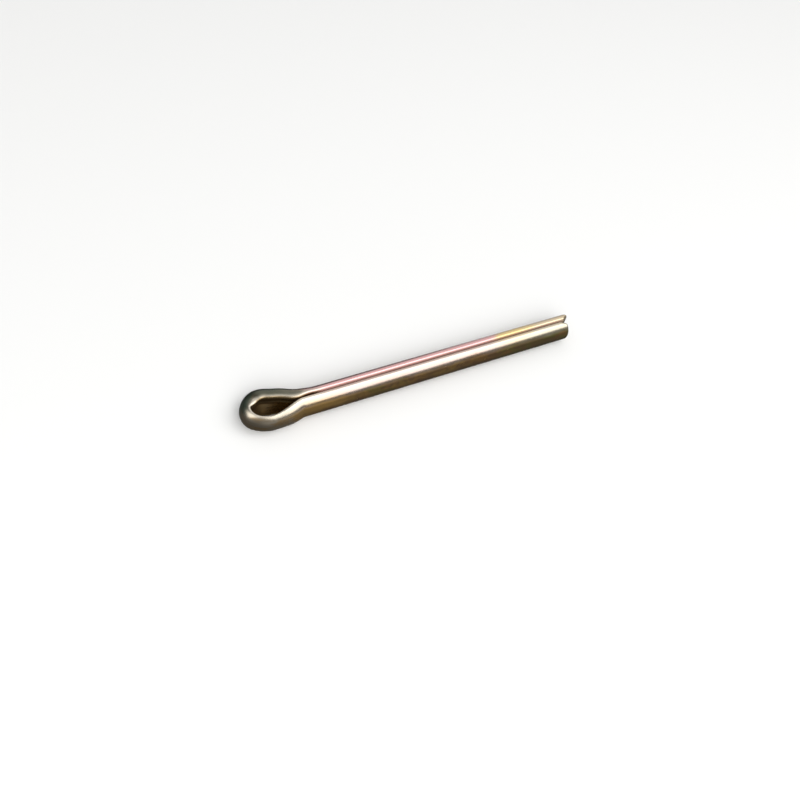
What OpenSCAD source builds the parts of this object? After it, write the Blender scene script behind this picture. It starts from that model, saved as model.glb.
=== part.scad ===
// Split cotter pin: one length of half-round wire folded at an eye, its two
// legs lying flat to flat as a round shank.
//
// The pin lies on its side. X runs along the shank from the seat under the eye
// to the tips, the wire is folded in the XY plane, and Z is up. The origin is
// on the axis of the shank, at the seat where the two legs start to part.
// The leg on the +Y side is the long one.

/* [Shank] */
// Diameter of the closed shank
shank_d = 3.7; // [2.9:0.1:5.9]
// Gap left between the flats of the two legs
split_gap = 0.2; // [0.1:0.05:0.6]
// Length of the short leg, from the seat to its tip
short_leg = 45; // [15:1:100]
// How far the long leg stands past the short one
leg_extra = 1; // [0:0.25:4]

/* [Wire] */
// Radius rounded off the two long edges of the half-round wire
edge_r = 0.25; // [0.1:0.05:0.4]
// Size of the wire round the eye, as a share of its size in the legs
eye_wire_share = 0.88; // [0.7:0.02:1]

/* [Eye] */
// Diameter of the hole in the eye
eye_hole_d = 3.6; // [2.5:0.1:6]
// How far the hole lies off the shank's axis, towards the long leg
eye_offset = 0.5; // [0:0.1:1]
// Radius of the flat where a leg bends out into the eye
neck_bend_r = 3.7; // [3.2:0.1:6]
// Length of the straight from that bend to the eye, on the long leg's side
neck_straight = 2.8; // [0.5:0.1:6]

/* [Tips] */
// Length of the bevel on the flat side of each tip
lead_length = 1; // [0.2:0.1:2]
// Depth of the bevel on the flat side of each tip
lead_depth = 0.6; // [0.1:0.1:1]
// Width of the bevel round the outside of each tip
tip_bevel = 0.25; // [0.1:0.05:0.5]

/* [Hidden] */
$fn = 96;

wire_color = "darkkhaki";
shank_r = shank_d / 2;
leg_thickness = shank_r - split_gap / 2;
eye_r = eye_hole_d / 2;

// distance from the middle of the flat to the centre of a rounded edge
edge_y = sqrt(pow(shank_r - edge_r, 2) - pow(split_gap / 2 + edge_r, 2));

// The tapered straights are faceted. Each lies this far inside the round wire
// that it joins, and runs this far into it.
seam = 0.02;
taper_fn = 32;

// A cut runs this far past what it cuts.
past = 1;

// A side is 1 for the long leg (+Y) and -1 for the short one (-Y). The flat of
// a leg bends round a centre beside the seat, runs straight, and then follows
// the hole: the straight is the crossed tangent of those two arcs.
arcs_r = neck_bend_r + eye_r;
function bend_rise(side) = split_gap / 2 + neck_bend_r - side * eye_offset;
eye_reach = sqrt(pow(neck_straight, 2) + pow(arcs_r, 2) - pow(bend_rise(1), 2));
function bend_angle(side) =
    asin(arcs_r / norm([eye_reach, bend_rise(side)])) - atan2(bend_rise(side), eye_reach);
function straight_length(side) =
    sqrt(pow(eye_reach, 2) + pow(bend_rise(side), 2) - pow(arcs_r, 2));

// what is rounded off the section's edge at +Y
module edge_waste() {
    edge_centre = [edge_r, edge_y];
    outward = [split_gap / 2 + edge_r, edge_y] / (shank_r - edge_r);
    difference() {
        polygon([
            [-past, edge_y],
            edge_centre,
            edge_centre + (edge_r + past) * outward,
            [-past, shank_r + past]
        ]);
        translate(edge_centre) circle(r = edge_r);
    }
}

// the half-round wire: its flat on the Y axis, its round side towards +X
module wire_section() {
    difference() {
        intersection() {
            translate([-split_gap / 2, 0]) circle(d = shank_d);
            translate([0, -shank_r]) square([shank_r, shank_d]);
        }
        edge_waste();
        mirror([0, 1]) edge_waste();
    }
}

// a straight length of wire along +X, its flat on the XZ plane, facing -Y
module straight_wire(length) {
    rotate([90, 0, 90]) linear_extrude(height = length) wire_section();
}

// the round rod, bevelled at its end, that a leg's outside follows
module bevelled_rod(length) {
    translate([0, -split_gap / 2, 0]) rotate([0, 90, 0]) {
        cylinder(h = length - tip_bevel, r = shank_r);
        translate([0, 0, length - tip_bevel])
            cylinder(h = tip_bevel, r1 = shank_r, r2 = shank_r - tip_bevel);
    }
}

// what the bevel takes off the flat side of a tip
module lead_waste(length) {
    slope = lead_depth / lead_length;
    translate([0, 0, -shank_r])
        linear_extrude(height = shank_d)
            polygon([
                [length - lead_length, 0],
                [length + past, slope * (lead_length + past)],
                [length + past, -past],
                [length - lead_length, -past]
            ]);
}

module leg(length) {
    difference() {
        intersection() {
            straight_wire(length);
            bevelled_rod(length);
        }
        lead_waste(length);
    }
}

// the bend that turns a leg out at the seat
module neck_bend(side) {
    translate([0, neck_bend_r, 0])
        rotate_extrude(angle = -bend_angle(side), start = 270)
            translate([neck_bend_r, 0]) mirror([1, 0]) wire_section();
}

// a short length of wire that lies just inside the real one
module inset_wire(share) {
    middle = leg_thickness / 2;
    rotate([90, 0, 90])
        linear_extrude(height = seam)
            scale(share)
                translate([middle, 0]) scale(1 - seam / shank_r) translate([-middle, 0])
                    wire_section($fn = taper_fn);
}

// the straight from the bend to the eye, where the wire thins
module neck_taper(side) {
    translate([0, neck_bend_r, 0]) rotate(-bend_angle(side)) translate([0, -neck_bend_r, 0])
        hull() {
            inset_wire(1);
            translate([-straight_length(side) - seam, 0, 0]) inset_wire(eye_wire_share);
        }
}

// one leg with its neck, on its own side of the gap
module pin_side(side) {
    length = side > 0 ? short_leg + leg_extra : short_leg;
    mirror([0, side > 0 ? 0 : 1, 0]) translate([0, split_gap / 2, 0]) {
        leg(length);
        neck_bend(side);
        neck_taper(side);
    }
}

// the wire round the hole, from the long leg's neck to the short leg's
module eye() {
    first = 90 - bend_angle(1);
    last = 270 + bend_angle(-1);
    translate([-eye_reach, eye_offset, 0])
        rotate_extrude(angle = last - first, start = first)
            translate([eye_r, 0]) scale(eye_wire_share) wire_section();
}

module cotter_pin() {
    color(wire_color) union() {
        pin_side(1);
        pin_side(-1);
        eye();
    }
}

cotter_pin();
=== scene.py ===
"""A split cotter pin: one length of half-round plated wire, folded at an eye."""

import math

import bmesh
import bpy
from bpy.props import FloatProperty, FloatVectorProperty, PointerProperty
from mathutils import Matrix, Vector


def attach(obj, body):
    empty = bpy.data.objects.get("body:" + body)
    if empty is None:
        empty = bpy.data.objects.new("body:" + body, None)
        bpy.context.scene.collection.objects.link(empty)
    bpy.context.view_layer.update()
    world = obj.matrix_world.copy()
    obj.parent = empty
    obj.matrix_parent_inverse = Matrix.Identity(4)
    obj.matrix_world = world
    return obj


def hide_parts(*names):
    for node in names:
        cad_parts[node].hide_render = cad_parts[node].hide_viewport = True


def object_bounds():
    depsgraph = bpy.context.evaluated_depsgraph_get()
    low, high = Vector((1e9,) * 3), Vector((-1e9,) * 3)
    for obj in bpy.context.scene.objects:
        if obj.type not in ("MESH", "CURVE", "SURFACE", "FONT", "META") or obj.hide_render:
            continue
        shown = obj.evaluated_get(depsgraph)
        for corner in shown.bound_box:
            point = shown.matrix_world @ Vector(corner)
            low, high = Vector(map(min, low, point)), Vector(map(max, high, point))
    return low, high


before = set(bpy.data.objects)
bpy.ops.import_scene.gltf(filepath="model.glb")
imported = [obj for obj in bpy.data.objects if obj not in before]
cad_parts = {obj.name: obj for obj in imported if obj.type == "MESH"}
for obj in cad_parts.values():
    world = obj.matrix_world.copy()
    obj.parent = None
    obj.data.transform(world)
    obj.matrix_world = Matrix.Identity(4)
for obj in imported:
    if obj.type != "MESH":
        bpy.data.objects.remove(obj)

bl_info = {
    "name": "Split cotter pin",
    "version": (1, 0, 0),
    "blender": (4, 5, 0),
    "location": "3D View > Sidebar > Cotter pin",
    "description": "Makes a split cotter pin of half-round plated wire and a studio for it",
    "category": "Add Mesh",
}

MM = 0.001
CAD_LOW, CAD_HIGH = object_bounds()


# ---------------------------------------------------------------- settings


def length(name, description, millimetres):
    """A length that is given in millimetres and kept in metres."""
    return FloatProperty(
        name=name,
        description=description,
        default=millimetres * MM,
        min=0.0,
        subtype="DISTANCE",
        unit="LENGTH",
        precision=5,
    )


def share(name, description, default):
    """A part of a whole, from 0 to 1."""
    return FloatProperty(
        name=name, description=description, default=default, min=0.0, max=1.0, subtype="FACTOR"
    )


def colour(name, description, default):
    """A linear red, green and blue."""
    return FloatVectorProperty(
        name=name,
        description=description,
        default=default,
        size=3,
        min=0.0,
        max=1.0,
        subtype="COLOR",
    )


def brightness(name, description, default):
    """How bright a light or a part of the room is, where 1 is white."""
    return FloatProperty(name=name, description=description, default=default, min=0.0)


def angle(name, description, degrees):
    """An angle that is given in degrees and kept in radians."""
    return FloatProperty(
        name=name,
        description=description,
        default=math.radians(degrees),
        subtype="ANGLE",
        unit="ROTATION",
    )


class PinSizes(bpy.types.PropertyGroup):
    """Sizes of the folded wire."""

    shank_d: length("Shank diameter", "Diameter of the two closed legs together", 3.7)
    split_gap: length("Split gap", "Gap between the flats of the two legs", 0.12)
    short_leg: length("Short leg", "Length of the short leg, from the seat to its tip", 45.0)
    leg_extra: length("Long leg extra", "How far the long leg stands past the short one", 1.0)
    edge_r: length("Edge radius", "Radius along the two edges of the half-round wire", 0.42)
    eye_hole_d: length("Eye hole", "Diameter of the hole in the eye", 3.4)
    eye_offset: length("Eye offset", "How far the hole lies off the shank's axis", 0.47)
    neck_bend_r: length("Neck bend", "Radius of the bend at the seat", 3.7)
    neck_straight: length("Neck straight", "Straight from that bend to the eye, long side", 3.2)
    eye_stretch: share("Eye stretch", "How much longer than round the hole is", 0.11)
    eye_flare: share("Eye flare", "How far the wire's edges stand in over the hole", 0.48)
    eye_tuck: share("Eye tuck", "How much further the lower of those edges stands in", 0.85)
    shoulder: length("Shoulder", "How far the long side stands out next to the seat", 0.52)
    belly: length("Belly", "How far the short side stands out next to the eye", 0.24)
    crown_thickness: share(
        "Crown thickness", "Thickness of the wire at the end of the eye, against the legs", 0.84
    )
    side_thickness: share(
        "Side thickness", "Thickness of the wire on the short side, against the legs", 0.64
    )
    eye_height: share("Eye height", "Height of the wire at the eye, against the legs", 0.8)
    lead_length: length("Lead length", "Length of the bevel on the flat side of a tip", 1.0)
    lead_depth: length("Lead depth", "Depth of the bevel on the flat side of a tip", 0.6)
    tip_round: length("Tip rounding", "Radius round the outside of a tip", 0.25)
    waviness: length("Waviness", "How far the wire wanders off its true line", 0.03)
    unevenness: length("Unevenness", "How far the round face stands off a true half-round", 0.006)


class PlatingFinish(bpy.types.PropertyGroup):
    """Colours and gloss of the plated wire."""

    # The colours low on the legs' sides are darker than those on top, partly as painted shade.
    bronze: colour("Bronze", "Plating low on the sides", (0.55, 0.34, 0.125))
    amber: colour("Amber", "Plating low on the sides, next to the eye", (0.80, 0.50, 0.17))
    gold: colour("Gold", "A stretch of the top near the tips", (0.85, 0.64, 0.27))
    plum: colour("Plum", "Small patches low on the sides", (0.31, 0.185, 0.105))
    russet: colour("Russet", "Patches low on the sides, and the pits", (0.45, 0.25, 0.1))
    blush: colour("Blush", "Plating on top of the long leg", (0.80, 0.47, 0.46))
    pearl: colour("Pearl", "Plating on top of the short leg", (0.60, 0.49, 0.43))
    olive: colour("Olive", "Plating low on the sides, towards the tips", (0.31, 0.27, 0.085))
    cream: colour("Cream", "Plating on top of the long leg, at both ends", (0.76, 0.62, 0.43))
    ivory: colour("Ivory", "Plating on top of the short leg, at both ends", (0.60, 0.54, 0.42))
    ash: colour("Ash", "Plating at the eye", (0.56, 0.5, 0.4))
    # Partly wear and partly a painted highlight along the edges of the flats.
    worn_and_highlight: colour("Worn", "Plating along the edges of the flats, at the eye", (0.8, 0.73, 0.62))
    # A green tint of the plating; its darkness on the eye's outer crown is painted shade.
    teal: colour("Teal", "Plating round the outside of the eye", (0.19, 0.27, 0.20))
    # Painted shade on the outside of the long side, by the eye.
    shade: colour("Shade", "Plating outside the long side, by the eye", (0.10, 0.105, 0.075))
    # Painted shade inside the eye and under it.
    umber: colour("Umber", "Plating inside the eye", (0.33, 0.23, 0.10))
    # Painted light: a matt brown that lightens the split, which would otherwise render almost
    # black.
    split_painted_light: colour("Grime", "Dull film left in the split", (0.34, 0.19, 0.14))
    roughness: share("Roughness", "Roughness of the plating", 0.22)


class StudioSettings(bpy.types.PropertyGroup):
    """Camera, light and floor."""

    heading: angle("Heading", "Turn of the camera round the pin, 0 looking along +Y", -41.36)
    elevation: angle("Elevation", "Angle of the camera above the floor", 48.24)
    roll: angle("Roll", "Turn of the camera about its own line of sight", 16.18)
    distance: length("Distance", "From the camera to the point that it looks at", 140.09)
    lens: FloatProperty(
        name="Lens", description="Focal length of the camera", default=45.0, unit="CAMERA"
    )
    aim: FloatVectorProperty(
        name="Aim",
        description="Point that the camera looks at",
        default=(13.31 * MM, -4.14 * MM, 0.0),
        size=3,
        subtype="TRANSLATION",
        unit="LENGTH",
        precision=5,
    )
    floor: colour("Floor", "Colour of the floor", (0.9, 0.9, 0.89))
    key: brightness("Key light", "Brightness of the main soft box", 1.88)
    side: brightness("Side wall", "Brightness of the pale wall beside the eye", 1.8)
    fill: brightness("Fill light", "Brightness of the soft box that clears the near shadow", 4.0)
    surround: brightness("Surround", "Light that the room casts on everything", 0.52)
    high_room: brightness("Overhead", "Brightness of the room overhead, seen in the metal", 0.6)
    low_room: brightness("Horizon", "Brightness of the room low down, seen in the metal", 0.1)
    wall: brightness("Wall", "Brightness of the pale wall behind the legs", 0.8)


# ------------------------------------------------------- reckoning in nodes


def plug(tree, value, socket):
    """Links a number in the tree to a socket, or sets the socket to a plain value."""
    if isinstance(value, Number):
        tree.links.new(value.socket, socket)
    else:
        socket.default_value = value


class Number:
    """A node's output that can be reckoned with like a plain number."""

    def __init__(self, tree, socket):
        self.tree = tree
        self.socket = socket

    def reckon(self, operation, *others):
        node = self.tree.nodes.new("ShaderNodeMath")
        node.operation = operation
        for value, socket in zip((self, *others), node.inputs):
            plug(self.tree, value, socket)
        return Number(self.tree, node.outputs[0])

    def __add__(self, other):
        return self.reckon("ADD", other)

    def __sub__(self, other):
        return self.reckon("SUBTRACT", other)

    def __mul__(self, other):
        return self.reckon("MULTIPLY", other)

    def __truediv__(self, other):
        return self.reckon("DIVIDE", other)

    def __neg__(self):
        return self * -1.0

    def more(self, other):
        return self.reckon("MAXIMUM", other)

    def square(self):
        return self * self

    def root(self):
        return self.reckon("SQRT")

    def sine(self):
        return self.reckon("SINE")

    def cosine(self):
        return self.reckon("COSINE")

    def size(self):
        return self.reckon("ABSOLUTE")

    def eased(self, start, end, low=0.0, high=1.0):
        """Low up to start and high past end, with a smooth change between them."""
        node = self.tree.nodes.new("ShaderNodeMapRange")
        node.interpolation_type = "SMOOTHERSTEP"
        for value, socket in zip((self, start, end, low, high), node.inputs):
            plug(self.tree, value, socket)
        return Number(self.tree, node.outputs[0])


def vector(tree, x, y, z=0.0):
    """A vector in the tree, from its x, y and z."""
    node = tree.nodes.new("ShaderNodeCombineXYZ")
    for value, socket in zip((x, y, z), node.inputs):
        plug(tree, value, socket)
    return Number(tree, node.outputs[0])


def parts(tree, place):
    """The x, y and z of a vector in the tree."""
    node = tree.nodes.new("ShaderNodeSeparateXYZ")
    plug(tree, place, node.inputs[0])
    return [Number(tree, socket) for socket in node.outputs]


def scaled(tree, place, factors):
    """A vector in the tree with each axis stretched by its own factor."""
    node = tree.nodes.new("ShaderNodeVectorMath")
    node.operation = "MULTIPLY"
    plug(tree, place, node.inputs[0])
    plug(tree, factors, node.inputs[1])
    return Number(tree, node.outputs[0])


def grain(tree, place, detail=2.0, roughness=0.5, distortion=0.0, shift=0.0):
    """Soft noise from 0 to 1 with one lump to each unit of place."""
    node = tree.nodes.new("ShaderNodeTexNoise")
    node.noise_dimensions = "4D"
    plug(tree, place, node.inputs["Vector"])
    node.inputs["W"].default_value = shift
    node.inputs["Scale"].default_value = 1.0
    node.inputs["Detail"].default_value = detail
    node.inputs["Roughness"].default_value = roughness
    node.inputs["Distortion"].default_value = distortion
    return Number(tree, node.outputs["Fac"])


# ------------------------------------------------------------- folded wire

# How many rings of points each stretch of one leg gets, from the top of the
# eye outwards, and how many points each part of the section gets.
EYE_RINGS, STRAIGHT_RINGS, BEND_RINGS = 72, 24, 20
LEG_RINGS, LEAD_RINGS, TIP_RINGS = 130, 14, 10
ROUND_POINTS, EDGE_POINTS, FLAT_POINTS = 40, 7, 10

# Where a shape sets in, from the top of the eye along the wire.
SHOULDER_START = 2.2 * MM
BELLY_START, BELLY_FULL = 1.8 * MM, 4.0 * MM
LONG_SWELL_START, LONG_SWELL_FULL = 0.6 * MM, 2.8 * MM
SHORT_THIN_START, SHORT_THIN_FULL = 0.2 * MM, 1.8 * MM
FLARE_START, FLARE_FULL = 0.1 * MM, 1.5 * MM
TUCK_START, TUCK_FULL = 0.1 * MM, 4.5 * MM

# How far before or past another mark one ends.
SHOULDER_PAST_SEAT = 3.0 * MM
SHORT_SWELL_BEFORE_STRAIGHT = 0.8 * MM
FLARE_PAST_SEAT = 2 * MM
TUCK_BEFORE_STRAIGHT, TUCK_PAST_STRAIGHT = 1.5 * MM, 2.0 * MM

# The tips: a run-in with rings of its own before the bevel, how soft the
# bevel's start is, and how much of the rounding its flat side shares.
LEAD_RUN_IN = 0.2 * MM
LEAD_SOFTNESS = 0.12 * MM
FLAT_ROUNDING = 0.5

# Lumps to the metre, where the wire isn't quite true, along it and across.
LUMPS = (220.0, 420.0, 420.0)
BENDS = (70.0, 1.0, 1.0)

# Attributes that only the tree needs. The material reads wire_place and to_tip.
TREE_ATTRIBUTES = (
    "order",
    "outward",
    "thickness",
    "tallness",
    "flare",
    "tuck",
    "section",
    "flat_line",
)


class WireTree:
    """The node tree that sweeps the half-round section along the fold."""

    def __init__(self, sizes):
        self.tree = bpy.data.node_groups.new("folded_wire", "GeometryNodeTree")
        self.tree.interface.new_socket(
            "Geometry", in_out="OUTPUT", socket_type="NodeSocketGeometry"
        )
        self.sockets = {}
        for key, prop in sizes.bl_rna.properties.items():
            if prop.type == "FLOAT":
                made = self.tree.interface.new_socket(
                    prop.name, in_out="INPUT", socket_type="NodeSocketFloat"
                )
                made.default_value = prop.default
                self.sockets[key] = made.identifier
        made = self.tree.interface.new_socket(
            "Material", in_out="INPUT", socket_type="NodeSocketMaterial"
        )
        self.sockets["material"] = made.identifier
        self.entry = self.tree.nodes.new("NodeGroupInput")
        self.build()

    def given(self, key):
        """One of the tree's own inputs."""
        for socket in self.entry.outputs:
            if socket.identifier == self.sockets[key]:
                return Number(self.tree, socket)
        raise KeyError(key)

    def node(self, kind, settings=None, **links):
        """A node with these settings, and with its inputs set or linked by name."""
        made = self.tree.nodes.new(kind)
        for key, value in (settings or {}).items():
            setattr(made, key, value)
        for name, value in links.items():
            plug(self.tree, value, made.inputs[name.replace("_", " ")])
        return made

    def stored(self, geometry, name, value, kind="FLOAT"):
        """The geometry with this value kept on each of its points."""
        made = self.node(
            "GeometryNodeStoreNamedAttribute",
            {"data_type": kind, "domain": "POINT"},
            Geometry=geometry,
            Name=name,
        )
        plug(self.tree, value, made.inputs["Value"])
        return Number(self.tree, made.outputs[0])

    def read(self, name, kind="FLOAT"):
        """A value that was kept on the points."""
        made = self.node("GeometryNodeInputNamedAttribute", {"data_type": kind}, Name=name)
        return Number(self.tree, made.outputs["Attribute"])

    def step(self, count):
        """Over a stretch of count points, from just above 0 to 1 at the last one."""
        index = Number(self.tree, self.node("GeometryNodeInputIndex").outputs[0])
        return (index + 1.0) / float(count)

    def row(self, count, place, order):
        """Points at place, with the number that says where they come in the curve."""
        made = self.node("GeometryNodePoints", Count=count, Position=place)
        return self.stored(Number(self.tree, made.outputs[0]), "order", order)

    def threaded(self, rows):
        """One curve through all the points of these rows."""
        join = self.node("GeometryNodeJoinGeometry")
        for geometry in rows:
            self.tree.links.new(geometry.socket, join.inputs[0])
        made = self.node(
            "GeometryNodePointsToCurves",
            Points=Number(self.tree, join.outputs[0]),
            Weight=self.read("order"),
        )
        return Number(self.tree, made.outputs[0])

    def section(self):
        """The half-round section: x from the flat outwards, y up the wire."""
        radius = self.given("shank_d") / 2.0
        gap = self.given("split_gap") / 2.0
        edge = self.given("edge_r")
        edge_y = ((radius - edge).square() - (gap + edge).square()).root()
        turn = edge_y.reckon("ARCTAN2", gap + edge)
        rows = []
        step = self.step(ROUND_POINTS)
        angle = turn * (step * 2.0 - 1.0)
        place = vector(self.tree, radius * angle.cosine() - gap, radius * angle.sine())
        rows.append(self.row(ROUND_POINTS, place, step))
        for side, first in ((1.0, 1.0), (-1.0, 3.0)):
            step = self.step(EDGE_POINTS)
            if side > 0:
                angle = turn + (-turn + math.pi) * step
            else:
                angle = (-turn + math.pi) * (-step + 1.0) + turn
            place = vector(
                self.tree, edge + edge * angle.cosine(), (edge_y + edge * angle.sine()) * side
            )
            rows.append(self.row(EDGE_POINTS, place, step + first))
        step = self.step(FLAT_POINTS)
        place = vector(self.tree, 0.0, edge_y * (-step * 2.0 + 1.0))
        rows.append(self.row(FLAT_POINTS, place, step + 2.0))
        curve = self.threaded(rows)
        closed = self.node("GeometryNodeSetSplineCyclic", Geometry=curve, Cyclic=True)
        at = Number(self.tree, self.node("GeometryNodeInputPosition").outputs[0])
        return self.stored(Number(self.tree, closed.outputs[0]), "section", at, "FLOAT_VECTOR")

    def half_fold(self, side):
        """Rows of points along one leg's flat, from the top of the eye to the tip."""
        gap = self.given("split_gap") / 2.0
        bend_r = self.given("neck_bend_r")
        eye_r = self.given("eye_hole_d") / 2.0
        offset = self.given("eye_offset")
        arcs = bend_r + eye_r
        reach = (
            self.given("neck_straight").square() + arcs.square() - (gap + bend_r - offset).square()
        ).root()
        rise = gap + bend_r - offset * side
        bend = (arcs / (reach.square() + rise.square()).root()).reckon("ARCSINE") - rise.reckon(
            "ARCTAN2", reach
        )
        straight = (reach.square() + rise.square() - arcs.square()).root()
        leg = self.given("short_leg")
        if side > 0:
            leg = leg + self.given("leg_extra")
        lead, tip = self.given("lead_length"), self.given("tip_round")
        sweep = bend + math.pi / 2
        eye_end = eye_r * sweep
        neck_end = eye_end + straight
        seat = neck_end + bend_r * bend
        rows = []

        def add(count, along, x, y, out_x, out_y):
            """One row, at x and y on the flat, where the wire stands out along out_x, out_y."""
            if side > 0:
                out = along.eased(SHOULDER_START, neck_end) * along.eased(
                    neck_end, seat + SHOULDER_PAST_SEAT, 1.0, 0.0
                )
                y = y + out * self.given("shoulder")
            else:
                out = along.eased(BELLY_START, BELLY_FULL)
                out = out * along.eased(BELLY_FULL, seat, 1.0, 0.0)
                y = y + out * self.given("belly")
            row = self.row(count, vector(self.tree, x, y * side), along * -side)
            outward = vector(self.tree, out_x, out_y * side)
            row = self.stored(row, "outward", outward, "FLOAT_VECTOR")
            row = self.stored(row, "to_tip", seat + leg - along)
            crown, thin = self.given("crown_thickness"), self.given("side_thickness")
            if side > 0:
                whole = along.eased(LONG_SWELL_START, LONG_SWELL_FULL)
                thick = crown + (-crown + 1.0) * whole
            else:
                whole = along.eased(eye_end - SHORT_SWELL_BEFORE_STRAIGHT, neck_end)
                thick = crown + (thin - crown) * along.eased(SHORT_THIN_START, SHORT_THIN_FULL)
                thick = thick + (-thin + 1.0) * whole
            low = self.given("eye_height")
            row = self.stored(row, "thickness", thick)
            row = self.stored(row, "tallness", low + (-low + 1.0) * whole)
            # only the long side's edges stand in over the hole
            flare = along.eased(FLARE_START, FLARE_FULL) * along.eased(
                neck_end, seat + FLARE_PAST_SEAT, 1.0, 0.0
            )
            row = self.stored(row, "flare", flare * self.given("eye_flare") * max(side, 0.0))
            tuck = along.eased(TUCK_START, TUCK_FULL) * along.eased(
                eye_end - TUCK_BEFORE_STRAIGHT, neck_end + TUCK_PAST_STRAIGHT, 1.0, 0.0
            )
            row = self.stored(row, "tuck", tuck * self.given("eye_tuck"))
            rows.append(row)

        step = self.step(EYE_RINGS)
        angle = sweep * step
        out_x, out_y = -angle.cosine(), angle.sine()
        longer = out_x.reckon("LESS_THAN", 0.0) * self.given("eye_stretch") + 1.0
        steep = out_x / longer
        true = (steep.square() + out_y.square()).root()
        add(
            EYE_RINGS,
            eye_end * step,
            eye_r * out_x * longer - reach,
            eye_r * out_y + offset * side,
            steep / true,
            out_y / true,
        )
        step = self.step(STRAIGHT_RINGS)
        out_x, out_y = bend.sine(), bend.cosine()
        add(
            STRAIGHT_RINGS,
            eye_end + straight * step,
            eye_r * out_x - reach + straight * step * out_y,
            eye_r * out_y + offset * side - straight * step * out_x,
            out_x,
            out_y,
        )
        step = self.step(BEND_RINGS)
        angle = bend * (-step + 1.0)
        out_x, out_y = angle.sine(), angle.cosine()
        add(
            BEND_RINGS,
            neck_end + bend_r * bend * step,
            -(bend_r * out_x),
            gap + bend_r - bend_r * out_y,
            out_x,
            out_y,
        )
        zero = gap * 0.0
        level = zero + 1.0
        for count, start, stretch, power in (
            (LEG_RINGS, zero, leg - lead - LEAD_RUN_IN, 1.0),
            (LEAD_RINGS, leg - lead - LEAD_RUN_IN, lead + LEAD_RUN_IN - tip, 1.0),
            (TIP_RINGS, leg - tip, tip, 2.0),
        ):
            # the last rings crowd towards the tip
            step = -((-self.step(count) + 1.0).reckon("POWER", power)) + 1.0
            x = start + stretch * step
            add(count, seat + x, x, gap, zero, level)
        return rows

    def build(self):
        """Sweeps the section, shapes what it makes, and puts each point in its place."""
        tree = self.tree
        fold = self.threaded(self.half_fold(1.0) + self.half_fold(-1.0))
        at = Number(tree, self.node("GeometryNodeInputPosition").outputs[0])
        fold = self.stored(fold, "flat_line", at, "FLOAT_VECTOR")
        swept = self.node(
            "GeometryNodeCurveToMesh", Curve=fold, Profile_Curve=self.section(), Fill_Caps=True
        )
        mesh = Number(tree, swept.outputs[0])

        radius = self.given("shank_d") / 2.0
        gap = self.given("split_gap") / 2.0
        full = radius - gap
        to_tip = self.read("to_tip").more(0.0)
        from_flat, height, _ = parts(tree, self.read("section", "FLOAT_VECTOR"))

        # The tips: the flat side rises on its bevel, and the outside rounds in.
        tip = self.given("tip_round")
        rounded = tip - (tip.square() - (tip - to_tip).more(0.0).square()).more(0.0).root()
        before = self.given("lead_length") - to_tip
        soft = (before.square() + LEAD_SOFTNESS**2).root()
        slope = self.given("lead_depth") / self.given("lead_length")
        low = (before + soft) / 2.0 * slope + rounded * FLAT_ROUNDING
        deep = full - rounded
        part = from_flat / full
        shaped = low + part * (deep - low)
        narrowed = (
            (deep - low) / full * (radius - rounded + shaped + gap) / (radius + from_flat + gap)
        ).more(0.0).root()
        tall = height * narrowed

        # The eye: the wire is thinner and lower there.
        shaped = shaped * self.read("thickness")
        tall = tall * self.read("tallness")

        # Drawn and bent wire is never quite true.
        along = self.read("order")
        lump = scaled(tree, vector(tree, along, from_flat, height), LUMPS)
        uneven = (grain(tree, lump, 1.0, shift=3.7) - 0.5) * self.given("unevenness") * 2.0
        swell = uneven / radius + 1.0
        wander = scaled(tree, vector(tree, along, 0.0, 0.0), BENDS)
        sideways = (grain(tree, wander, 1.0, shift=1.3) - 0.5) * self.given("waviness")
        upward = (grain(tree, wander, 1.0, shift=8.1) - 0.5) * self.given("waviness")

        # The edges of the flat side stand in over the hole, the lower one further.
        reach = tall.size() + (-tall).more(0.0) * self.read("tuck")
        shaped = shaped - reach * self.read("flare") * (-part + 1.0).square()
        line_x, line_y, _ = parts(tree, self.read("flat_line", "FLOAT_VECTOR"))
        out_x, out_y, _ = parts(tree, self.read("outward", "FLOAT_VECTOR"))
        outward = shaped * swell + sideways
        place = vector(
            tree, line_x + out_x * outward, line_y + out_y * outward, tall * swell + upward
        )
        mesh = self.stored(
            mesh, "wire_place", vector(tree, along, from_flat, height), "FLOAT_VECTOR"
        )
        moved = self.node("GeometryNodeSetPosition", Geometry=mesh, Position=place)
        real = self.node(
            "GeometryNodeRealizeInstances", Geometry=Number(tree, moved.outputs[0])
        )
        dressed = self.node(
            "GeometryNodeSetMaterial",
            Geometry=Number(tree, real.outputs[0]),
            Material=self.given("material"),
        )
        leave = tree.nodes.new("NodeGroupOutput")
        tree.links.new(dressed.outputs[0], leave.inputs[0])


SAME_POINT = 1e-8


def plain_mesh(carrier):
    """Turns what an object's modifiers make into its own plain mesh."""
    graph = bpy.context.evaluated_depsgraph_get()
    mesh = bpy.data.meshes.new_from_object(carrier.evaluated_get(graph))
    carrier.modifiers.clear()
    empty = carrier.data
    carrier.data = mesh
    bpy.data.meshes.remove(empty)
    mesh.name = carrier.name
    for name in TREE_ATTRIBUTES:
        if name in mesh.attributes:
            mesh.attributes.remove(mesh.attributes[name])
    work = bmesh.new()
    work.from_mesh(mesh)
    bmesh.ops.remove_doubles(work, verts=work.verts, dist=SAME_POINT)
    bmesh.ops.recalc_face_normals(work, faces=work.faces)
    for face in work.faces:
        face.smooth = True
    loose = sum(not edge.is_manifold for edge in work.edges)
    volume = work.calc_volume()
    work.to_mesh(mesh)
    work.free()
    if loose or volume <= 0:
        raise RuntimeError(f"the wire isn't closed: {loose} open edges, volume {volume}")
    return mesh


# --------------------------------------------------------------- materials


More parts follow.
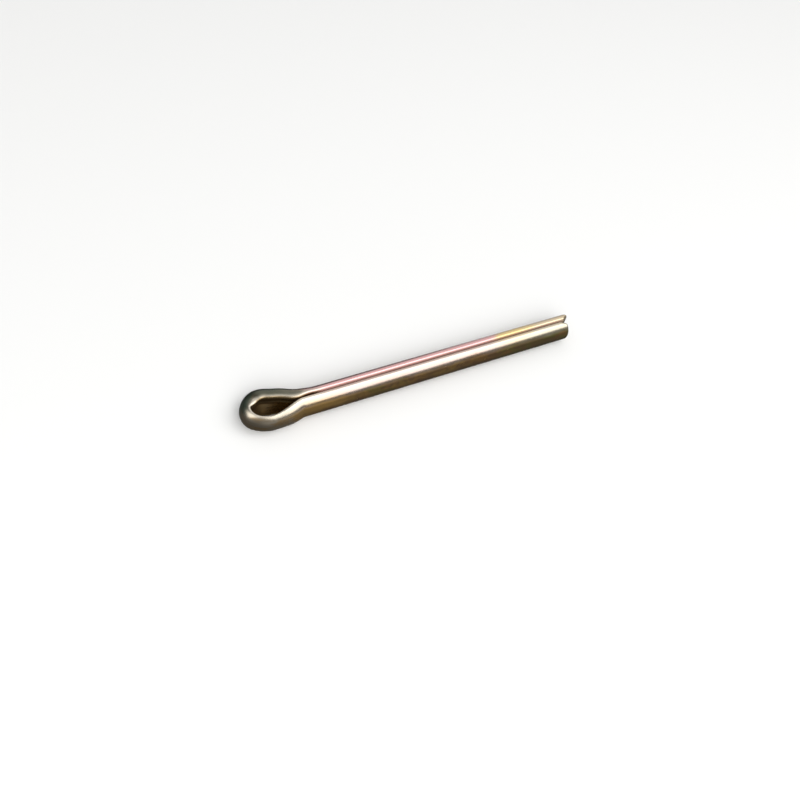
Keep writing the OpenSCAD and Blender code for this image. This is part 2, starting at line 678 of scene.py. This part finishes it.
def ramp(tree, value, stops):
    """A colour that changes evenly between these places and shades."""
    node = tree.nodes.new("ShaderNodeValToRGB")
    plug(tree, value, node.inputs[0])
    elements = node.color_ramp.elements
    while len(elements) < len(stops):
        elements.new(0.5)
    for element, (place, shade) in zip(elements, stops):
        element.position = place
        element.color = (*shade, 1.0)
    return Number(tree, node.outputs[0])


def blended(tree, amount, under, over, kind="MIX"):
    """The colour under, with this amount of the colour over laid on it."""
    node = tree.nodes.new("ShaderNodeMix")
    node.data_type = "RGBA"
    node.blend_type = kind
    plug(tree, amount, node.inputs["Factor"])
    sockets = [s for s in node.inputs if s.type == "RGBA"]
    for value, socket in zip((under, over), sockets):
        plug(tree, value if isinstance(value, Number) else (*value, 1.0), socket)
    return Number(tree, next(s for s in node.outputs if s.type == "RGBA"))


# Lumps to the metre in the plating: along the wire, outwards and up.
CLOUD_LUMPS = (240.0, 700.0, 700.0)
PATCH_LUMPS = (190.0, 420.0, 420.0)
MOTTLE_LUMPS = (420.0, 900.0, 900.0)
DRAWN_LUMPS = (160.0, 9000.0, 9000.0)
PEEL_LUMPS = (2200.0, 3000.0, 3000.0)
PIT_LUMPS = (900.0, 1500.0, 1500.0)

# Where the plating changes, out from the top of the eye along either leg.
EYE_TO_LEG = (2.5 * MM, 7.5 * MM)
LONG_SHADE_ENDS = (5.0 * MM, 12.5 * MM)
CREAM_EYE_ENDS = (6.5 * MM, 9.5 * MM)
WORN_HIGHLIGHT_ENDS = (8.0 * MM, 13.0 * MM)
INSIDE_ENDS = (9.0 * MM, 13.0 * MM)
SPLIT_STARTS = (9.0 * MM, 14.0 * MM)
AMBER_ENDS = (9.0 * MM, 16.0 * MM)
OLIVE_STARTS = (26.0 * MM, 50.0 * MM)
CREAM_TIP_STARTS = (36.0 * MM, 50.0 * MM)
GOLD_STARTS = (38.5 * MM, 42.0 * MM)
GOLD_ENDS = (44.5 * MM, 48.5 * MM)

# The same with a sign, below 0 on the long leg's side.
SHORT_SIDE = (-0.2 * MM, 0.2 * MM)
CROWN_ENDS = (-0.8 * MM, 0.4 * MM)
LONG_SIDE_ENDS = (-2.7 * MM, -0.9 * MM)

# Before the tip.
SPLIT_BEFORE_TIP = (0.7 * MM, 1.8 * MM)

# Outwards from the flat.
FLAT_FACE = (0.02 * MM, 0.3 * MM)
WORN_HIGHLIGHT_EDGE = (0.08 * MM, 0.25 * MM)
WORN_HIGHLIGHT_EDGE_ENDS = (0.4 * MM, 0.8 * MM)
CROWN_RIM = (0.4 * MM, 1.1 * MM)
LONG_RIM = (0.0 * MM, 0.6 * MM)

# Up the wire, 0 at the middle.
TOP = (0.7 * MM, 1.6 * MM)
UNDERSIDE = (-1.0 * MM, 0.8 * MM)
CROWN_RISE = (-1.1 * MM, 0.2 * MM)
LONG_RISE = (-0.9 * MM, 0.5 * MM)

# Where in their noise the patches, the mottling and the pits set in.
RUSSET_PATCHES = (0.48, 0.6)
OLIVE_PATCHES = (0.36, 0.47)
BRONZE_PATCHES = (0.46, 0.58)
PLUM_SPOTS = (0.4, 0.6)
PITTED_PATCHES = (0.45, 0.6)
PIT_SIZES = (0.05, 0.14)

# The lines of the die: a place in their noise and how bright the plating is there.
DRAWN_SHADES = ((0.3, (0.6, 0.6, 0.6)), (0.7, (1.0, 1.0, 1.0)))


class WireMarks:
    """Where a point lies on the wire, and the soft patches that the whole finish shares."""

    def __init__(self, tree):
        self.tree = tree
        # along the wire from the top of the eye, the long leg's side below 0
        self.place = Number(tree, self.attribute("wire_place").outputs["Vector"])
        self.along, self.from_flat, self.height = parts(tree, self.place)
        self.to_tip = Number(tree, self.attribute("to_tip").outputs["Fac"])
        self.cloud = self.noise(CLOUD_LUMPS, 3.0, 0.55, 0.6, 2.1) - 0.5
        self.patch = self.noise(PATCH_LUMPS, 3.0, 0.6, 0.8, 9.4)
        # from the top of the eye out along either leg, with a ragged edge
        self.out = self.along.size() + self.cloud * 12 * MM
        self.eye = self.out.eased(*EYE_TO_LEG, 0.9, 0.0)

    def attribute(self, name):
        """A value that came with the mesh."""
        node = self.tree.nodes.new("ShaderNodeAttribute")
        node.attribute_name = name
        return node

    def noise(self, lumps, detail, roughness, distortion, shift):
        """Soft noise with this many lumps to the metre along, outwards and up."""
        place = scaled(self.tree, self.place, lumps)
        return grain(self.tree, place, detail, roughness, distortion, shift)


def leg_colours(tree, wire, finish):
    """Rose, gold and cream on top of the legs, and bronze to olive low on their sides, darker
    partly as painted shade.
    """
    short_side = (wire.along + wire.height * 0.3).eased(*SHORT_SIDE)
    ends = wire.out.eased(*CREAM_TIP_STARTS)
    ends = ends.more(wire.out.eased(*CREAM_EYE_ENDS, 0.8, 0.0))
    crest = blended(tree, ends, finish.blush, finish.cream)
    paler = blended(tree, ends, finish.pearl, finish.ivory)
    crest = blended(tree, short_side, crest, paler)
    gilt = wire.out.eased(*GOLD_STARTS) * wire.out.eased(*GOLD_ENDS, 1.0, 0.0)
    gilt = gilt * (-(short_side * 0.75) + 1.0) * 0.85
    crest = blended(tree, gilt, crest, finish.gold)

    flank = blended(tree, wire.out.eased(*OLIVE_STARTS), finish.bronze, finish.olive)
    flank = blended(tree, wire.patch.eased(*RUSSET_PATCHES, 0.0, 0.8), flank, finish.russet)
    flank = blended(tree, wire.patch.eased(*OLIVE_PATCHES, 0.6, 0.0), flank, finish.olive)
    mottle = wire.noise(MOTTLE_LUMPS, 3.0, 0.6, 0.6, 6.2)
    flank = blended(tree, mottle.eased(*PLUM_SPOTS, 0.65, 0.0), flank, finish.plum)
    flank = blended(tree, wire.out.eased(*AMBER_ENDS, 0.8, 0.0), flank, finish.amber)

    # the sides are darker than the tops partly as painted shade
    top = (wire.height + wire.cloud * 0.7 * MM).eased(*TOP)
    return blended(tree, top, flank, crest)


def eye_colours(tree, wire, finish, colours):
    """Ash at the eye, with wear and painted highlights on its edges, a teal crown, and painted
    shade: dark on the long side, umber under and inside.
    """
    patches = wire.patch.eased(*BRONZE_PATCHES, 0.0, 0.6)
    smoked = blended(tree, patches, finish.ash, finish.bronze)
    colours = blended(tree, wire.eye, colours, smoked)
    # painted shade: umber towards the underside of the eye
    below = wire.height.eased(*UNDERSIDE, 0.14, 0.0) * wire.eye
    colours = blended(tree, below, colours, finish.umber)

    # wear along the edges of the flats, and a painted highlight on their rounding
    worn_and_highlight = wire.from_flat.eased(*WORN_HIGHLIGHT_EDGE)
    worn_and_highlight = worn_and_highlight * (wire.from_flat + wire.cloud * 0.5 * MM).eased(*WORN_HIGHLIGHT_EDGE_ENDS, 1.0, 0.0)
    worn_and_highlight = worn_and_highlight * wire.out.eased(*WORN_HIGHLIGHT_ENDS, 1.0, 0.0)
    colours = blended(tree, worn_and_highlight * 0.8, colours, finish.worn_and_highlight)

    # the crown's outer rim: its green is the plating's tint, its darkness is painted shade
    level = wire.height + wire.cloud * 1.2 * MM
    crown = (wire.along - wire.cloud * 2 * MM).eased(*CROWN_ENDS, 1.0, 0.0) * wire.eye
    crown = crown * level.eased(*CROWN_RISE, 0.35, 1.0)
    rim = (wire.from_flat + wire.cloud * 1.2 * MM).eased(*CROWN_RIM)
    colours = blended(tree, rim * crown, colours, finish.teal)

    # painted shade over the outside of the long side, next to the eye
    long_side = (wire.along + wire.cloud * 2 * MM).eased(*LONG_SIDE_ENDS, 1.0, 0.0)
    long_side = long_side * wire.out.eased(*LONG_SHADE_ENDS, 1.0, 0.0)
    rim = (wire.from_flat + wire.cloud * 0.6 * MM).eased(*LONG_RIM, 0.35, 0.95)
    rim = rim * level.eased(*LONG_RISE, 0.3, 1.0)
    colours = blended(tree, rim * long_side, colours, finish.shade)

    # painted shade: umber on the flat faces inside the eye and on into the split
    inside = wire.from_flat.eased(*FLAT_FACE, 1.0, 0.0)
    inside = inside * wire.out.eased(*INSIDE_ENDS, 1.0, 0.0)
    return blended(tree, inside * 0.8, colours, finish.umber)


def plated_wire(finish):
    """Drawn steel wire with a yellow zinc plate that shades into rose, gold and green."""
    material = bpy.data.materials.new("plated_wire")
    material.use_nodes = True
    tree = material.node_tree
    shader = tree.nodes["Principled BSDF"]
    shader.inputs["Metallic"].default_value = 1.0  # for viewers that don't follow the nodes
    wire = WireMarks(tree)
    colours = leg_colours(tree, wire, finish)
    colours = eye_colours(tree, wire, finish, colours)

    # fine lines that the die left along the wire
    drawn = wire.noise(DRAWN_LUMPS, 4.0, 0.6, 0.0, 5.0)
    colours = blended(tree, 0.35, colours, ramp(tree, drawn, DRAWN_SHADES), "MULTIPLY")

    # small pits
    pits = tree.nodes.new("ShaderNodeTexVoronoi")
    plug(tree, scaled(tree, wire.place, PIT_LUMPS), pits.inputs["Vector"])
    pits.inputs["Scale"].default_value = 1.0
    pit = Number(tree, pits.outputs["Distance"]).eased(*PIT_SIZES, 1.0, 0.0)
    pit = pit * wire.patch.eased(*PITTED_PATCHES)
    colours = blended(tree, pit * 0.5, colours, finish.russet)

    # the flats in the split are dull, up to the bevels of the tips; their matt brown is painted
    # light that lightens the split line
    split = wire.from_flat.eased(*FLAT_FACE, 1.0, 0.0)
    split = split * wire.along.size().eased(*SPLIT_STARTS)
    split = split * wire.to_tip.eased(*SPLIT_BEFORE_TIP)
    colours = blended(tree, split * 0.75, colours, finish.split_painted_light)

    rough = (drawn - 0.5) * 0.25 + pit * 0.25 + split * 0.2 + wire.eye * 0.1 + finish.roughness
    plug(tree, colours, shader.inputs["Base Color"])
    plug(tree, rough, shader.inputs["Roughness"])
    plug(tree, -(split * 0.7) + 1.0, shader.inputs["Metallic"])

    peel = wire.noise(PEEL_LUMPS, 2.0, 0.5, 0.0, 7.0)
    relief = drawn * 0.7 + peel * 0.35 - pit * 0.6
    bump = tree.nodes.new("ShaderNodeBump")
    bump.inputs["Strength"].default_value = 0.35
    bump.inputs["Distance"].default_value = 0.012 * MM
    plug(tree, relief, bump.inputs["Height"])
    tree.links.new(bump.outputs[0], shader.inputs["Normal"])
    return material


def plain(name, shade, roughness):
    """An even, matt material for the things round the pin."""
    material = bpy.data.materials.new(name)
    material.use_nodes = True
    shader = material.node_tree.nodes["Principled BSDF"]
    shader.inputs["Base Color"].default_value = (*shade, 1.0)
    shader.inputs["Roughness"].default_value = roughness
    shader.inputs["Specular IOR Level"].default_value = 0.0
    return material


# --------------------------------------------------------------- operators


# The room that shows in the metal is a dome over a sheet just above the floor.
CORNERS = ((-1.0, -1.0), (1.0, -1.0), (1.0, 1.0), (-1.0, 1.0))
FLOOR_HALF = 0.7
ROOM_R = 0.9
SHEET_LIFT = 0.02 * MM
JUST_UNDER = 0.1 * MM

# Places in the room are in its radius. This is height and how bright it is there.
ROOM_GRADE = ((0.26, 0.18), (0.5, 0.27), (0.71, 0.40))
FAR_SIDE, FAR_SHARE = (0.15, 0.65), 0.45  # and what the far side keeps of that
NEAR_SIDE, NEAR_GLOW = (0.0, 0.7), 0.28  # and what the near side adds low down
NEAR_GLOW_ENDS = (0.0, 0.5)

# The sheet under the dome, in front of the pin.
SHEET_FRONT, SHEET_NEAR = (-0.008, 0.012), 0.21
ON_SHEET = 0.0001
# What the pin's shadow takes from it, in millimetres from the middle.
SHADE_ALONG, SHADE_STARTS, SHADE_ENDS = (-1.0, 2.0), (-4.5, -2.4), (-0.5, 0.5)
SHADE_SHARE = 0.4
# What it adds behind the tips, in millimetres too.
BEYOND_ALONG, BEYOND_ACROSS = (22.0, 40.0), (1.5, 4.0)
BEYOND_GLOW = 0.35

# Pale patches: turn from +X towards +Y, rise above the floor, and how far from
# the middle the patch is even and ends, in degrees; and its brightness.
ROOM_PATCHES = (
    (56.0, 23.0, 14.0, 34.0, "wall"),  # behind the legs
    (15.0, 60.0, 12.0, 32.0, "wall"),  # its way up to the main soft box
    (165.0, 56.0, 12.0, 28.0, "side"),  # beside the eye
)


def direction(turn, rise):
    """The way to something at this turn from +X towards +Y, this far above the floor."""
    turn, rise = math.radians(turn), math.radians(rise)
    return Vector(
        (math.cos(turn) * math.cos(rise), math.sin(turn) * math.cos(rise), math.sin(rise))
    )


def room_level(tree, base, settings):
    """How bright each place in the room is."""
    place = tree.nodes.new("ShaderNodeTexCoord")
    x, y, z = parts(tree, Number(tree, place.outputs["Object"]))
    x, y, z = x / ROOM_R, y / ROOM_R, (z - base) / ROOM_R
    front = (x - y) * 0.707  # along the floor's diagonal, towards +X and -Y

    # brighter overhead, darker towards the floor and on the far side
    grade = ((0.0, settings.low_room), *ROOM_GRADE, (1.0, settings.high_room))
    level, _, _ = parts(tree, ramp(tree, z, [(at, (glow,) * 3) for at, glow in grade]))
    level = level * y.eased(*FAR_SIDE, 1.0, FAR_SHARE)
    level = level + front.eased(*NEAR_SIDE, 0.0, NEAR_GLOW) * z.eased(*NEAR_GLOW_ENDS, 1.0, 0.0)
    for turn, rise, even, ends, key in ROOM_PATCHES:
        way = direction(turn, rise)
        toward = x * way.x + y * way.y
        toward = toward + z * way.z
        even, ends = math.cos(math.radians(even)), math.cos(math.radians(ends))
        level = level + toward.eased(ends, even, 0.0, getattr(settings, key))

    # the sheet is brighter in front, darker where the pin shades it, and
    # paler behind the tips
    def between(stretch):
        return [millimetres * MM / ROOM_R for millimetres in stretch]

    sheet = front.eased(*SHEET_FRONT, settings.low_room, SHEET_NEAR)
    beside = y.eased(*between(SHADE_STARTS)) * y.eased(*between(SHADE_ENDS), 1.0, 0.0)
    sheet = sheet * (-(beside * x.eased(*between(SHADE_ALONG))) * SHADE_SHARE + 1.0)
    beyond = x.eased(*between(BEYOND_ALONG)) * y.eased(*between(BEYOND_ACROSS))
    sheet = sheet + beyond * BEYOND_GLOW
    on_sheet = z.reckon("LESS_THAN", ON_SHEET)
    return level + (sheet - level) * on_sheet


class PIN_OT_studio(bpy.types.Operator):
    """Set up the camera, the floor, the lamps and the room that shows in the metal"""

    bl_idname = "pin.studio"
    bl_label = "Studio"

    def card(self, name, corners, material):
        """A flat sheet between four corners that isn't part of the pin."""
        mesh = bpy.data.meshes.new(name)
        mesh.from_pydata(corners, [], [(0, 1, 2, 3)])
        mesh.materials.append(material)
        sheet = bpy.data.objects.new(name, mesh)
        bpy.context.scene.collection.objects.link(sheet)

    def dark_room(self, base, settings):
        """A dim room that only shows in the metal: a dome over a sheet on the floor."""
        work = bmesh.new()
        bmesh.ops.create_uvsphere(work, u_segments=64, v_segments=48, radius=ROOM_R)
        low = [vert for vert in work.verts if vert.co.z < -JUST_UNDER]
        bmesh.ops.delete(work, geom=low, context="VERTS")
        for vert in work.verts:
            vert.co.z += base
        corners = [(x * ROOM_R, y * ROOM_R, base + SHEET_LIFT) for x, y in CORNERS]
        work.faces.new([work.verts.new(corner) for corner in corners])
        mesh = bpy.data.meshes.new("dark_room")
        work.to_mesh(mesh)
        work.free()

        material = bpy.data.materials.new("dark_room")
        material.use_nodes = True
        tree = material.node_tree
        tree.nodes.clear()
        emission = tree.nodes.new("ShaderNodeEmission")
        plug(tree, room_level(tree, base, settings), emission.inputs["Strength"])
        leave = tree.nodes.new("ShaderNodeOutputMaterial")
        tree.links.new(emission.outputs[0], leave.inputs["Surface"])
        mesh.materials.append(material)

        room = bpy.data.objects.new("dark_room", mesh)
        bpy.context.scene.collection.objects.link(room)
        room.visible_camera = False
        room.visible_diffuse = False
        room.visible_shadow = False
        room.visible_transmission = False

    def soft_box(self, name, turn, rise, distance, width, depth, radiance):
        """An even lamp of this width and depth that looks at the pin."""
        way = direction(turn, rise)
        data = bpy.data.lights.new(name, "AREA")
        data.shape = "RECTANGLE"
        data.size, data.size_y = width, depth
        data.energy = radiance * math.pi * width * depth
        lamp = bpy.data.objects.new(name, data)
        bpy.context.scene.collection.objects.link(lamp)
        lamp.location = way * distance
        lamp.rotation_mode = "QUATERNION"
        lamp.rotation_quaternion = (-way).to_track_quat("-Z", "Y")
        return lamp

    def camera(self, scene, settings):
        """The camera, at its angle above the floor."""
        heading, rise = settings.heading, settings.elevation
        back = Vector(
            (
                math.sin(heading) * math.cos(rise),
                -math.cos(heading) * math.cos(rise),
                math.sin(rise),
            )
        )
        right = Vector((0, 0, 1)).cross(back).normalized()
        right = Matrix.Rotation(settings.roll, 3, back) @ right
        up = back.cross(right)
        data = bpy.data.cameras.new("camera")
        data.sensor_width = 36.0
        data.lens = settings.lens
        data.clip_start, data.clip_end = 0.001, 20.0
        camera = bpy.data.objects.new("camera", data)
        scene.collection.objects.link(camera)
        camera.rotation_mode = "QUATERNION"
        camera.rotation_quaternion = Matrix((right, up, back)).transposed().to_quaternion()
        camera.location = Vector(settings.aim) + back * settings.distance
        scene.camera = camera

    def white_world(self, scene, settings):
        """A background that is white where it is seen and dimmer as light.

        The dark room stands between it and the metal.
        """
        world = bpy.data.worlds.new("room")
        world.use_nodes = True
        tree = world.node_tree
        light = tree.nodes.new("ShaderNodeLightPath")
        seen = Number(tree, light.outputs["Is Camera Ray"])
        for name in ("Is Glossy Ray", "Is Transmission Ray"):
            seen = seen.more(Number(tree, light.outputs[name]))
        strength = seen * (1.0 - settings.surround) + settings.surround
        plug(tree, strength, tree.nodes["Background"].inputs["Strength"])
        tree.nodes["Background"].inputs["Color"].default_value = (1.0, 1.0, 1.0, 1.0)
        scene.world = world

    def execute(self, context):
        settings = context.scene.pin_studio
        scene = context.scene
        scene.view_settings.view_transform = "Standard"
        self.camera(scene, settings)

        base = CAD_LOW.z
        floor = plain("floor", settings.floor, roughness=0.9)
        corners = [(x * FLOOR_HALF, y * FLOOR_HALF, base) for x, y in CORNERS]
        self.card("floor", corners, floor)
        self.dark_room(base, settings)
        self.soft_box(
            "key",
            turn=-42.0,
            rise=54.0,
            distance=0.5,
            width=0.42,
            depth=0.38,
            radiance=settings.key,
        )
        fill = self.soft_box(
            "fill",
            turn=-112.0,
            rise=38.0,
            distance=0.6,
            width=0.5,
            depth=0.4,
            radiance=settings.fill,
        )
        fill.visible_glossy = False
        self.white_world(scene, settings)
        return {"FINISHED"}


class PIN_OT_folded_wire(bpy.types.Operator):
    """Fold the plated wire into the pin"""

    bl_idname = "pin.folded_wire"
    bl_label = "Folded wire"

    def execute(self, context):
        sizes = context.scene.pin_sizes
        wire = WireTree(sizes)
        piece = bpy.data.objects.new("folded_wire", bpy.data.meshes.new("folded_wire_start"))
        context.scene.collection.objects.link(piece)
        modifier = piece.modifiers.new("fold", "NODES")
        modifier.node_group = wire.tree
        for key, identifier in wire.sockets.items():
            if key != "material":
                modifier[identifier] = getattr(sizes, key)
        modifier[wire.sockets["material"]] = plated_wire(context.scene.pin_finish)
        plain_mesh(piece)
        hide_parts("cotter_pin")
        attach(piece, "root")
        return {"FINISHED"}


class PIN_PT_sidebar(bpy.types.Panel):
    """The settings, and a button for the studio and for the wire"""

    bl_idname = "PIN_PT_sidebar"
    bl_label = "Cotter pin"
    bl_space_type = "VIEW_3D"
    bl_region_type = "UI"
    bl_category = "Cotter pin"

    def draw(self, context):
        layout = self.layout
        for title, settings, operator in (
            ("Studio", context.scene.pin_studio, PIN_OT_studio),
            ("Wire", context.scene.pin_sizes, PIN_OT_folded_wire),
            ("Plating", context.scene.pin_finish, None),
        ):
            box = layout.box()
            box.label(text=title)
            for key, prop in settings.bl_rna.properties.items():
                if prop.type == "FLOAT":
                    box.prop(settings, key)
            if operator:
                box.operator(operator.bl_idname)


CLASSES = (
    PinSizes,
    PlatingFinish,
    StudioSettings,
    PIN_OT_studio,
    PIN_OT_folded_wire,
    PIN_PT_sidebar,
)


def register():
    for each in CLASSES:
        bpy.utils.register_class(each)
    bpy.types.Scene.pin_sizes = PointerProperty(type=PinSizes)
    bpy.types.Scene.pin_finish = PointerProperty(type=PlatingFinish)
    bpy.types.Scene.pin_studio = PointerProperty(type=StudioSettings)


def unregister():
    del bpy.types.Scene.pin_sizes
    del bpy.types.Scene.pin_finish
    del bpy.types.Scene.pin_studio
    for each in reversed(CLASSES):
        bpy.utils.unregister_class(each)


def main():
    """Makes the studio and the pin."""
    register()
    bpy.ops.pin.studio()
    bpy.ops.pin.folded_wire()


if __name__ == "__main__":
    main()
